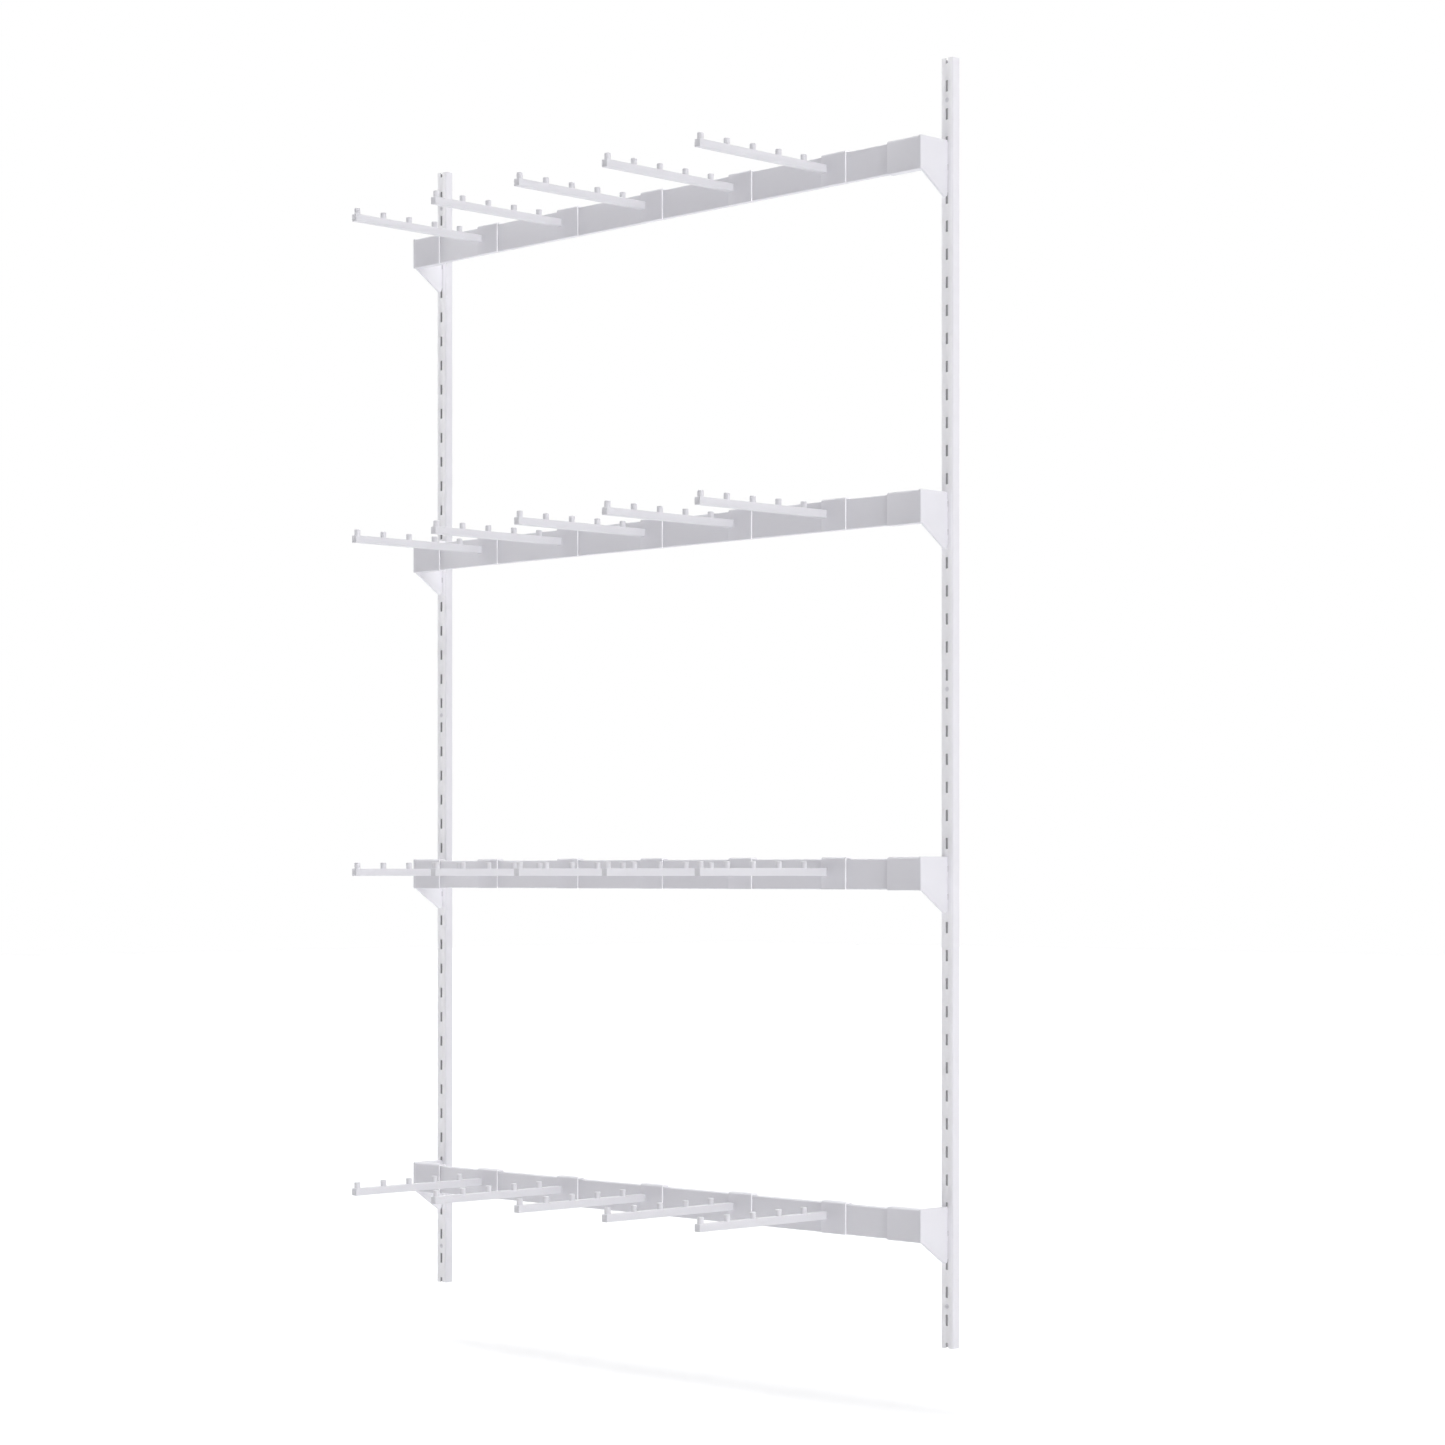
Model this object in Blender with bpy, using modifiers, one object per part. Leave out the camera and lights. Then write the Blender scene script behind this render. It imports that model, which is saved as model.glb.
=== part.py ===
"""Wall-mounted garment display rack.

Two slotted uprights are screwed to a wall. Hook-in brackets carry four flat rails between them,
and on each rail hang five arms that slide sideways, each with a row of pins that space hangers.
The origin is on the wall, midway between the uprights and at their lower ends.
X runs along the rails, the rack's front faces -Y, and Z is up. All lengths are in metres.
"""
import math

import bmesh
import bpy
from mathutils import Euler, Matrix, Vector

# Driving dimensions of the uprights
SLOT_PITCH = 0.050
SLOT_STEPS = 46
SLOT_HEIGHT = 0.020
SLOT_SIDE_CLEARANCE = 0.0005
UPRIGHT_SPACING = 1.400
UPRIGHT_WIDTH = 0.028
UPRIGHT_DEPTH = 0.018
UPRIGHT_WALL = 0.002
UPRIGHT_BEND_RADIUS = 0.001

# Driving dimensions of the brackets, whose plates stand this far above their upper hooks' slots
HOOK_SLOTS = (3, 16, 29, 41)
RAIL_STANDOFF = 0.090
BRACKET_SHEET = 0.005
HIGH_HOOK_HEAD = 0.0029
LOW_HOOK_HEAD = 0.0264
BRACKET_TAIL = 0.0304
GUSSET_TOE = 0.0055
GUSSET_CORNER_RADIUS = 0.002
GUSSET_HEEL_RADIUS = 0.007
HOOK_DROP = 0.007
HOOK_THICKNESS = 0.005
HOOK_LEAD = 0.0015
HOOK_CLEARANCE = 0.0035
SLEEVE_LENGTH = 0.076
SLEEVE_SHEET = 0.003
SLEEVE_FLOOR = 0.001
SLEEVE_BEND_RADIUS = 0.001
WELD_LEDGE = 0.0005

# Driving dimensions of the rails
RAIL_HEIGHT = 0.055
RAIL_DEPTH = 0.012
RAIL_WALL = 0.0015
RAIL_INNER_RADIUS = 0.001

# Driving dimensions of the saddles and arms
ARMS_PER_RAIL = 5
LEFT_END_MARGIN = 0.1205
RIGHT_END_MARGIN = 0.1025
ARM_PROJECTION = 0.321
ARM_DROP = 0.0235
ARM_BAR = 0.014
ARM_EDGE = 0.001
SADDLE_WIDTH = 0.060
SADDLE_SHEET = 0.003
SADDLE_BEND_RADIUS = 0.001
SADDLE_LIP = 0.020
PIN_COUNT = 5
PIN_DIAMETER = 0.0115
PIN_HEIGHT = 0.012
PIN_CROWN = 0.0015
PIN_END = 0.008
PIN_ROOT = 0.053

# Driving dimensions of the wall screws, which sit half a pitch below these slots
SCREW_SLOTS = (1, 22, 44)
SCREW_HEAD_DIAMETER = 0.0084
SCREW_SHANK_DIAMETER = 0.0045
SCREW_LENGTH = 0.0175
SCREW_TIP = 0.004
SCREW_HOLE_CLEARANCE = 0.00035

# Gap between pieces that touch, length that a cutter runs past a face, and weld distance
FIT_GAP = 0.0003
OVERRUN = 0.002
WELD_DISTANCE = 0.000001

# Turn of each step that draws a bend, and sides of a round pin and a turned screw
BEND_TURN = math.radians(30)
PIN_SIDES = 12
SCREW_SIDES = 12

# Sizes that follow from the driving dimensions
UPRIGHT_HEIGHT = SLOT_PITCH * SLOT_STEPS
SLOT_WIDTH = BRACKET_SHEET + 2 * SLOT_SIDE_CLEARANCE
WEB_FRONT = -UPRIGHT_DEPTH
WEB_BACK = WEB_FRONT + UPRIGHT_WALL
POCKET_HEIGHT = RAIL_HEIGHT + 2 * FIT_GAP
POCKET_DEPTH = RAIL_DEPTH + 2 * FIT_GAP
SLEEVE_HEIGHT = POCKET_HEIGHT + SLEEVE_SHEET + SLEEVE_FLOOR
SLEEVE_DEPTH = POCKET_DEPTH + 2 * SLEEVE_SHEET
BRACKET_FRONT = -RAIL_STANDOFF - WELD_LEDGE
BRACKET_BACK = WEB_FRONT - FIT_GAP
BRACKET_HEIGHT = LOW_HOOK_HEAD + SLOT_PITCH + BRACKET_TAIL
ROW_HEADS = (HIGH_HOOK_HEAD, LOW_HOOK_HEAD, LOW_HOOK_HEAD, HIGH_HOOK_HEAD)
RAIL_FRONT = -RAIL_STANDOFF + SLEEVE_SHEET + FIT_GAP
RAIL_MIDDLE = RAIL_FRONT + RAIL_DEPTH / 2
RAIL_LENGTH = UPRIGHT_SPACING - BRACKET_SHEET - 2 * FIT_GAP
RAIL_BELOW_TOP = WELD_LEDGE + SLEEVE_SHEET + POCKET_HEIGHT / 2
HALF_SPACING = UPRIGHT_SPACING / 2
SLEEVE_END = HALF_SPACING - BRACKET_SHEET / 2 - SLEEVE_LENGTH
SADDLE_FRONT = -RAIL_DEPTH / 2 - FIT_GAP - SADDLE_SHEET
FIRST_ARM = -SLEEVE_END + LEFT_END_MARGIN + ARM_BAR / 2
LAST_ARM = SLEEVE_END - RIGHT_END_MARGIN - SADDLE_WIDTH + ARM_BAR / 2
ARM_PITCH = (LAST_ARM - FIRST_ARM) / (ARMS_PER_RAIL - 1)
PIN_PITCH = (ARM_PROJECTION - PIN_END - PIN_ROOT) / (PIN_COUNT - 1)

SIDES = {"left": -1, "right": 1}
ROWS = tuple(enumerate(zip(HOOK_SLOTS, ROW_HEADS), start=1))

# Turns an outline drawn across and up into one that lies in the YZ plane, extruded along X
SIDEWAYS = Euler((math.pi / 2, 0, math.pi / 2)).to_matrix().to_4x4()
# Turns a shape that stands along Z so that its top points to the rack's front
FORWARDS = Matrix.Rotation(math.pi / 2, 4, "X")


def clear_scene():
    """Remove the objects that the scene starts with."""
    for item in list(bpy.data.objects):
        bpy.data.objects.remove(item, do_unlink=True)


def make_collection(name):
    """Add an empty collection to the scene."""
    collection = bpy.data.collections.new(name)
    bpy.context.scene.collection.children.link(collection)
    return collection


def coat(name, colour, roughness, metallic):
    """Make a plain material for one piece."""
    material = bpy.data.materials.new(name + "_coat")
    material.use_nodes = True
    shader = material.node_tree.nodes["Principled BSDF"]
    shader.inputs["Base Color"].default_value = (*colour, 1)
    shader.inputs["Roughness"].default_value = roughness
    shader.inputs["Metallic"].default_value = metallic
    return material


def white_powder_coat(name):
    """Make the satin white powder coat of the uprights, brackets, rails and saddles."""
    return coat(name, (0.80, 0.80, 0.82), 0.42, 0.0)


def white_lacquer(name):
    """Make the slightly greyer white lacquer of a screw head."""
    return coat(name, (0.74, 0.74, 0.76), 0.35, 0.0)


def add_piece(name, mesh, collection, material, location, parent=None):
    """Place one named piece, with its own material, in a collection."""
    piece = bpy.data.objects.new(name, mesh)
    collection.objects.link(piece)
    piece.location = location
    piece.parent = parent
    if not mesh.materials:
        mesh.materials.append(material)
    piece.material_slots[0].link = "OBJECT"
    piece.material_slots[0].material = material
    return piece


def add_cutter(name, mesh, collection, location):
    """Place a shape that only cuts others."""
    cutter = bpy.data.objects.new(name, mesh)
    collection.objects.link(cutter)
    cutter.location = location
    cutter.hide_render = True
    cutter.display_type = "WIRE"
    return cutter


def add_boolean(piece, other, operation):
    """Cut a piece by another shape, or join that shape to it."""
    modifier = piece.modifiers.new(operation.lower() + "_" + other.name, "BOOLEAN")
    modifier.operation = operation
    modifier.solver = "EXACT"
    modifier.object = other


def evaluated_mesh(item):
    """Return the mesh of an object with its modifiers or curve worked out."""
    graph = bpy.context.evaluated_depsgraph_get()
    return bpy.data.meshes.new_from_object(item.evaluated_get(graph))


def finished_mesh(name, mesh, changes):
    """Work out a mesh's Booleans, listed as other shape and operation, on a helper object."""
    helper = bpy.data.objects.new(name, mesh)
    bpy.context.scene.collection.objects.link(helper)
    for other, operation in changes:
        add_boolean(helper, other, operation)
    result = evaluated_mesh(helper)
    result.name = name
    bpy.data.objects.remove(helper)
    return result


def shade(mesh, angle=math.radians(35)):
    """Shade round faces smooth and keep edges sharper than an angle."""
    mesh.shade_smooth()
    mesh.set_sharp_from_angle(angle=angle)
    return mesh


def round_corners(corners):
    """Return an outline's points, with each corner's radius drawn as an arc."""
    points = []
    for index, (across, up, radius) in enumerate(corners):
        corner = Vector((across, up))
        if radius == 0:
            points.append(corner)
            continue
        before = (Vector(corners[index - 1][:2]) - corner).normalized()
        after = (Vector(corners[(index + 1) % len(corners)][:2]) - corner).normalized()
        half_angle = before.angle(after) / 2
        centre = corner + (before + after).normalized() * radius / math.sin(half_angle)
        start = corner + before * radius / math.tan(half_angle) - centre
        turn = math.copysign(math.pi - 2 * half_angle, -before.cross(after))
        steps = round(abs(turn) / BEND_TURN)
        for step in range(steps + 1):
            arm = start.copy()
            arm.rotate(Matrix.Rotation(turn * step / steps, 2))
            points.append(centre + arm)
    return points


def rounded_rectangle(width, height, radius):
    """Return a centred rectangle's points with rounded corners."""
    right = width / 2
    top = height / 2
    corners = [(-right, -top), (right, -top), (right, top), (-right, top)]
    return round_corners([(across, up, radius) for across, up in corners])


def extruded_mesh(name, outlines, length, turn, move):
    """Fill flat outlines as a 2D curve, extrude them, and return the turned and moved mesh."""
    curve = bpy.data.curves.new(name, "CURVE")
    curve.dimensions = "2D"
    curve.fill_mode = "BOTH"
    curve.extrude = length / 2
    for outline in outlines:
        spline = curve.splines.new("POLY")
        spline.points.add(len(outline) - 1)
        spline.use_cyclic_u = True
        for point, place in zip(spline.points, outline):
            point.co = (place.x, place.y, 0, 1)
    helper = bpy.data.objects.new(name, curve)
    bpy.context.scene.collection.objects.link(helper)
    mesh = evaluated_mesh(helper)
    mesh.name = name
    bpy.data.objects.remove(helper)
    bpy.data.curves.remove(curve)
    weld(mesh)
    mesh.transform(Matrix.Translation(move) @ turn)
    return mesh


def weld(mesh):
    """Weld loose caps to their walls and turn all faces out."""
    bm = bmesh.new()
    bm.from_mesh(mesh)
    bmesh.ops.remove_doubles(bm, verts=bm.verts, dist=WELD_DISTANCE)
    bmesh.ops.recalc_face_normals(bm, faces=bm.faces)
    bm.to_mesh(mesh)
    bm.free()


def box_mesh(name, size, centres):
    """Make equal boxes at a list of places, as one mesh."""
    bm = bmesh.new()
    for centre in centres:
        place = Matrix.Translation(centre) @ Matrix.Diagonal((*size, 1))
        bmesh.ops.create_cube(bm, size=1, matrix=place)
    mesh = bpy.data.meshes.new(name)
    bm.to_mesh(mesh)
    bm.free()
    return mesh


def turned_mesh(name, profile):
    """Turn a profile of radius and height about Z with a Screw modifier."""
    line = bpy.data.meshes.new(name)
    points = [(radius, 0, height) for radius, height in profile]
    line.from_pydata(points, [(n, n + 1) for n in range(len(points) - 1)], [])
    helper = bpy.data.objects.new(name, line)
    bpy.context.scene.collection.objects.link(helper)
    screw = helper.modifiers.new("turn", "SCREW")
    screw.steps = SCREW_SIDES
    screw.render_steps = SCREW_SIDES
    screw.use_merge_vertices = True
    screw.merge_threshold = WELD_DISTANCE
    mesh = evaluated_mesh(helper)
    mesh.name = name
    bpy.data.objects.remove(helper)
    mesh.transform(FORWARDS)
    return mesh


def slot_height(count):
    """Return the height of a slot's middle, counted down from the upper end."""
    return UPRIGHT_HEIGHT - count * SLOT_PITCH


def screw_hole_mesh():
    """Shape the countersunk hole that a wall screw passes through, its rim on the origin."""
    spread = FIT_GAP * math.sqrt(2)
    rim = SCREW_HEAD_DIAMETER / 2 + spread
    bore = SCREW_SHANK_DIAMETER / 2 + SCREW_HOLE_CLEARANCE
    end = -UPRIGHT_WALL - OVERRUN
    profile = [
        (0, OVERRUN),
        (rim + OVERRUN, OVERRUN),
        (bore, bore - rim),
        (bore, end),
        (0, end),
    ]
    return turned_mesh("screw_hole", profile)


def upright_mesh(cutters):
    """Fold a channel open to the wall, pierce its slots and countersink its screw holes."""
    half = UPRIGHT_WIDTH / 2
    inner = half - UPRIGHT_WALL
    outer_radius = UPRIGHT_BEND_RADIUS + UPRIGHT_WALL
    corners = [
        (-half, 0, 0),
        (-half, WEB_FRONT, outer_radius),
        (half, WEB_FRONT, outer_radius),
        (half, 0, 0),
        (inner, 0, 0),
        (inner, WEB_BACK, UPRIGHT_BEND_RADIUS),
        (-inner, WEB_BACK, UPRIGHT_BEND_RADIUS),
        (-inner, 0, 0),
    ]
    middle = (0, 0, UPRIGHT_HEIGHT / 2)
    channel = extruded_mesh("channel", [round_corners(corners)], UPRIGHT_HEIGHT, Matrix(), middle)
    slot_size = (SLOT_WIDTH, UPRIGHT_WALL + 2 * OVERRUN, SLOT_HEIGHT)
    web_middle = WEB_FRONT + UPRIGHT_WALL / 2
    places = [(0, web_middle, slot_height(count)) for count in range(SLOT_STEPS + 1)]
    slots = add_cutter("slots", box_mesh("slots", slot_size, places), cutters, (0, 0, 0))
    changes = [(slots, "DIFFERENCE")]
    hole = screw_hole_mesh()
    for count in SCREW_SLOTS:
        place = (0, WEB_FRONT, slot_height(count) - SLOT_PITCH / 2)
        changes.append((add_cutter(f"screw_hole_{count}", hole, cutters, place), "DIFFERENCE"))
    return shade(finished_mesh("upright", channel, changes))


def hook_corners(slot_middle):
    """Return a bracket hook's corners from its upper root to its lower one."""
    sill = slot_middle - SLOT_HEIGHT / 2 + FIT_GAP
    top = slot_middle + SLOT_HEIGHT / 2 - HOOK_CLEARANCE - HOOK_DROP
    near = WEB_BACK + FIT_GAP
    far = near + HOOK_THICKNESS
    tip = sill - HOOK_DROP
    return [
        (BRACKET_BACK, top, 0),
        (far, top, 0),
        (far, tip + HOOK_LEAD, 0),
        (far - HOOK_LEAD, tip, 0),
        (near, tip, 0),
        (near, sill, 0),
        (BRACKET_BACK, sill, 0),
    ]


def gusset_mesh(head):
    """Cut a gusset plate with two hooks, the upper one's slot this far below its top edge.

    Its lower edge runs level for a toe behind the sleeve's front and then slants to the upright.
    """
    front_height = SLEEVE_HEIGHT + 2 * WELD_LEDGE
    corners = [(BRACKET_FRONT, 0, GUSSET_CORNER_RADIUS), (BRACKET_BACK, 0, 0)]
    corners += hook_corners(-head)
    corners += hook_corners(-head - SLOT_PITCH)
    corners.append((BRACKET_BACK, -BRACKET_HEIGHT, GUSSET_HEEL_RADIUS))
    corners.append((BRACKET_FRONT + GUSSET_TOE, -front_height, 0))
    corners.append((BRACKET_FRONT, -front_height, GUSSET_CORNER_RADIUS))
    return extruded_mesh("gusset", [round_corners(corners)], BRACKET_SHEET, SIDEWAYS, (0, 0, 0))


def sleeve_outline():
    """Return the outline of a sleeve with a thin floor, centred on the pocket for the rail."""
    side = SLEEVE_DEPTH / 2
    top = POCKET_HEIGHT / 2 + SLEEVE_SHEET
    bottom = -POCKET_HEIGHT / 2 - SLEEVE_FLOOR
    upper_radius = SLEEVE_BEND_RADIUS + SLEEVE_SHEET
    lower_radius = SLEEVE_BEND_RADIUS + SLEEVE_FLOOR
    corners = [
        (-side, bottom, lower_radius),
        (side, bottom, lower_radius),
        (side, top, upper_radius),
        (-side, top, upper_radius),
    ]
    return round_corners(corners)


def bracket_mesh(side, pattern, head, cutters):
    """Join a gusset plate with two hooks to the sleeve that takes a rail's end.

    The origin is on the gusset's middle plane, on the wall plane and level with its top edge.
    The gusset stands a narrow ledge proud of the sleeve all round, where the two are welded.
    """
    name = f"{pattern}_{'left' if side < 0 else 'right'}"
    length = SLEEVE_LENGTH + BRACKET_SHEET / 2
    centre = Vector((-side * length / 2, RAIL_MIDDLE, -RAIL_BELOW_TOP))
    block = add_cutter(
        f"sleeve_block_{name}",
        extruded_mesh("sleeve_block", [sleeve_outline()], length, SIDEWAYS, centre),
        cutters,
        (0, 0, 0),
    )
    inner = rounded_rectangle(POCKET_DEPTH, POCKET_HEIGHT, SLEEVE_BEND_RADIUS)
    depth = SLEEVE_LENGTH + OVERRUN
    centre.x = -side * (BRACKET_SHEET / 2 + depth / 2)
    pocket = add_cutter(
        f"sleeve_pocket_{name}",
        extruded_mesh("sleeve_pocket", [inner], depth, SIDEWAYS, centre),
        cutters,
        (0, 0, 0),
    )
    changes = [(block, "UNION"), (pocket, "DIFFERENCE")]
    return shade(finished_mesh(f"bracket_{name}", gusset_mesh(head), changes))


def rail_mesh():
    """Extrude a flat rectangular tube along X, centred on the origin."""
    outer = rounded_rectangle(RAIL_DEPTH, RAIL_HEIGHT, RAIL_INNER_RADIUS + RAIL_WALL)
    inner = rounded_rectangle(
        RAIL_DEPTH - 2 * RAIL_WALL, RAIL_HEIGHT - 2 * RAIL_WALL, RAIL_INNER_RADIUS
    )
    return shade(extruded_mesh("rail", [outer, inner], RAIL_LENGTH, SIDEWAYS, (0, 0, 0)))


def saddle_mesh():
    """Bend a sheet over the rail's top, with a front plate as high as the rail and a rear lip.

    The origin is on the rail's middle line, level with the arm that the front plate carries.
    The plate starts at the arm's left side and runs on to the right.
    """
    top = RAIL_HEIGHT / 2 + FIT_GAP
    bottom = -RAIL_HEIGHT / 2
    lip_end = RAIL_HEIGHT / 2 - SADDLE_LIP
    inside = RAIL_DEPTH / 2 + FIT_GAP
    outside = inside + SADDLE_SHEET
    outer_radius = SADDLE_BEND_RADIUS + SADDLE_SHEET
    corners = [
        (-outside, bottom, 0),
        (-inside, bottom, 0),
        (-inside, top, SADDLE_BEND_RADIUS),
        (inside, top, SADDLE_BEND_RADIUS),
        (inside, lip_end, 0),
        (outside, lip_end, 0),
        (outside, top + SADDLE_SHEET, outer_radius),
        (-outside, top + SADDLE_SHEET, outer_radius),
    ]
    shift = (SADDLE_WIDTH / 2 - ARM_BAR / 2, 0, 0)
    return shade(extruded_mesh("saddle", [round_corners(corners)], SADDLE_WIDTH, SIDEWAYS, shift))


def pins_mesh(front, bar_top):
    """Make one arm's row of pins, rooted in the bar and with bevelled crowns."""
    bm = bmesh.new()
    root = ARM_BAR / 2
    height = PIN_HEIGHT + root
    for count in range(PIN_COUNT):
        place = (0, front + PIN_END + count * PIN_PITCH, bar_top + PIN_HEIGHT - height / 2)
        made = bmesh.ops.create_cone(
            bm,
            cap_ends=True,
            segments=PIN_SIDES,
            radius1=PIN_DIAMETER / 2,
            radius2=PIN_DIAMETER / 2,
            depth=height,
            matrix=Matrix.Translation(place),
        )
        upper = [vertex for vertex in made["verts"] if vertex.co.z > bar_top]
        crown = {edge for vertex in upper for edge in vertex.link_edges}
        rim = [edge for edge in crown if all(vertex in upper for vertex in edge.verts)]
        bmesh.ops.bevel(bm, geom=rim, offset=PIN_CROWN, segments=1, affect="EDGES")
    mesh = bpy.data.meshes.new("pins")
    bm.to_mesh(mesh)
    bm.free()
    return mesh


def arm_mesh(cutters):
    """Join a square bar and its pins, on the same origin as the saddle that carries it."""
    back = SADDLE_FRONT - FIT_GAP
    front = SADDLE_FRONT - ARM_PROJECTION
    middle = RAIL_HEIGHT / 2 - ARM_DROP
    bar = box_mesh("bar", (ARM_BAR, back - front, ARM_BAR), [(0, (back + front) / 2, middle)])
    bm = bmesh.new()
    bm.from_mesh(bar)
    bmesh.ops.bevel(bm, geom=bm.edges[:], offset=ARM_EDGE, segments=1, affect="EDGES")
    bm.to_mesh(bar)
    bm.free()
    pins = add_cutter("pins", pins_mesh(front, middle + ARM_BAR / 2), cutters, (0, 0, 0))
    return shade(finished_mesh("arm", bar, [(pins, "UNION")]))


def wall_screw_mesh():
    """Turn a countersunk wood screw, its head's face on the origin and its tip behind."""
    head = SCREW_HEAD_DIAMETER / 2
    shank = SCREW_SHANK_DIAMETER / 2
    profile = [
        (0, 0),
        (head, 0),
        (shank, shank - head),
        (shank, SCREW_TIP - SCREW_LENGTH),
        (0, -SCREW_LENGTH),
    ]
    return shade(turned_mesh("wall_screw", profile))


def add_uprights(rack, cutters):
    """Stand the two uprights against the wall."""
    mesh = upright_mesh(cutters)
    for name, side in SIDES.items():
        node = f"upright_{name}"
        add_piece(node, mesh, rack, white_powder_coat(node), (side * HALF_SPACING, 0, 0))


def add_wall_screws(rack):
    """Put the screws flush into the uprights' webs, between slots."""
    mesh = wall_screw_mesh()
    for name, side in SIDES.items():
        for order, count in enumerate(SCREW_SLOTS, start=1):
            node = f"wall_screw_{name}_{order}"
            place = (side * HALF_SPACING, WEB_FRONT, slot_height(count) - SLOT_PITCH / 2)
            add_piece(node, mesh, rack, white_lacquer(node), place)


def add_brackets(rack, cutters):
    """Hook a bracket into each upright at every row, with its hooks set high or low."""
    patterns = {"high": HIGH_HOOK_HEAD, "low": LOW_HOOK_HEAD}
    for name, side in SIDES.items():
        made = {head: bracket_mesh(side, kind, head, cutters) for kind, head in patterns.items()}
        for row, (count, head) in ROWS:
            node = f"bracket_{name}_{row}"
            place = (side * HALF_SPACING, 0, slot_height(count) + head)
            add_piece(node, made[head], rack, white_powder_coat(node), place)


def rail_height(count, head):
    """Return the height of a rail's middle line, from its bracket's upper slot and head."""
    return slot_height(count) + head - RAIL_BELOW_TOP


def add_rails(rack):
    """Lay a rail into the sleeves of every row."""
    mesh = rail_mesh()
    for row, (count, head) in ROWS:
        node = f"rail_{row}"
        place = (0, RAIL_MIDDLE, rail_height(count, head))
        add_piece(node, mesh, rack, white_powder_coat(node), place)


def add_arms(rack, cutters):
    """Hang the saddles and their arms on the rails, each pair on an empty that slides along X."""
    saddle = saddle_mesh()
    arm = arm_mesh(cutters)
    for row, (count, head) in ROWS:
        for column in range(ARMS_PER_RAIL):
            across = FIRST_ARM + column * ARM_PITCH
            tag = f"{row}_{column + 1}"
            slide = bpy.data.objects.new(f"slide_{tag}", None)
            rack.objects.link(slide)
            slide.location = (across, RAIL_MIDDLE, rail_height(count, head))
            for kind, mesh in (("saddle", saddle), ("arm", arm)):
                node = f"{kind}_{tag}"
                add_piece(node, mesh, rack, white_powder_coat(node), (0, 0, 0), slide)


def build():
    """Build the whole rack."""
    clear_scene()
    rack = make_collection("garment_display_rack")
    cutters = make_collection("cutters")
    add_uprights(rack, cutters)
    add_wall_screws(rack)
    add_brackets(rack, cutters)
    add_rails(rack)
    add_arms(rack, cutters)
    bpy.context.view_layer.update()


build()
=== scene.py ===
"""Wall-mounted garment display rack, dressed for rendering.

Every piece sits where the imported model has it, in metres: X runs along the rails, the rack's
front faces -Y and Z is up, with the wall at Y = 0.
"""

import math

import bmesh
import bpy
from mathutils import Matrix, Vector


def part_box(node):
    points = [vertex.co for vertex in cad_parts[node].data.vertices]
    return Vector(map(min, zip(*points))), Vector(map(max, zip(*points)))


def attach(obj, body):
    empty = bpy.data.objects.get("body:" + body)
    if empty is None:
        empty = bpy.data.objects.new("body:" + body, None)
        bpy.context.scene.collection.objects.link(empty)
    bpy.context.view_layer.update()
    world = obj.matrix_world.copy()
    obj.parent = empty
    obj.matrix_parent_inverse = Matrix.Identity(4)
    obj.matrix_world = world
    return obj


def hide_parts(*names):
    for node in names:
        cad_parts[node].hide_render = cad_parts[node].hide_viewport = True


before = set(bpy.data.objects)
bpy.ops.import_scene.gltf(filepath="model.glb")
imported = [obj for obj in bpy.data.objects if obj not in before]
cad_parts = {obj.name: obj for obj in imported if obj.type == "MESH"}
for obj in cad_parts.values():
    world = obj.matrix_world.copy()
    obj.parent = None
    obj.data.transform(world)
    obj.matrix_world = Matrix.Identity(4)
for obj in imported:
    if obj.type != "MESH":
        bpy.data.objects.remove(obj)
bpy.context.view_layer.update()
bpy.context.scene.view_settings.view_transform = "Standard"

# View: the rack from its front right corner, level with the second hanger rail from below.
# The lens stands upright, so that the uprights stay parallel, and it is raised to frame the rack.
VIEW_AZIMUTH = 45.42
VIEW_PLACE = (4.770, -4.590, 0.8433)
VIEW_LENS = 85.39
VIEW_RISE = 0.1057

bpy.ops.object.camera_add(
    location=VIEW_PLACE, rotation=(math.radians(90), 0, math.radians(VIEW_AZIMUTH))
)
camera = bpy.context.object
camera.data.lens = VIEW_LENS
camera.data.shift_y = VIEW_RISE
bpy.context.scene.camera = camera

# Room: a broad ring of soft light just in front of the rack, from its sides, above and below, and
# weak light from the wall's side, so that the rack's fronts look greyer than its ends and sides.
# The white floor lies below the uprights and runs into the background.
RING_LIGHT = 5.35
RING_FRONT = -0.40
RING_FULL = -0.12
RING_BACK = 0.05
WALL_LIGHT = 0.42
FLOOR_DROP = 0.12
FLOOR_SIZE = 60
FLOOR_COLOUR = (0.86, 0.86, 0.87, 1)
FLOOR_ROUGHNESS = 0.9
FLOOR_LIFT = 0.14


def seen_directly(tree):
    """Add a mask that is 1 for what the camera, gloss or glass shows and 0 for light."""
    path = tree.nodes.new("ShaderNodeLightPath")
    seen = path.outputs["Is Camera Ray"]
    for ray in ("Is Glossy Ray", "Is Transmission Ray"):
        either = tree.nodes.new("ShaderNodeMath")
        either.operation = "MAXIMUM"
        tree.links.new(seen, either.inputs[0])
        tree.links.new(path.outputs[ray], either.inputs[1])
        seen = either.outputs["Value"]
    return seen


def ranged(tree, value, low, high, start=0.0, end=1.0):
    """Turn a value that runs from start to end into one that runs from low to high."""
    node = tree.nodes.new("ShaderNodeMapRange")
    node.inputs["From Min"].default_value = start
    node.inputs["From Max"].default_value = end
    node.inputs["To Min"].default_value = low
    node.inputs["To Max"].default_value = high
    tree.links.new(value, node.inputs["Value"])
    return node.outputs["Result"]


def combine(tree, operation, first, second):
    """Work out two values by one sum."""
    node = tree.nodes.new("ShaderNodeMath")
    node.operation = operation
    for inlet, value in zip(node.inputs, (first, second)):
        if isinstance(value, (int, float)):
            inlet.default_value = value
        else:
            tree.links.new(value, inlet)
    return node.outputs["Value"]


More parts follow.
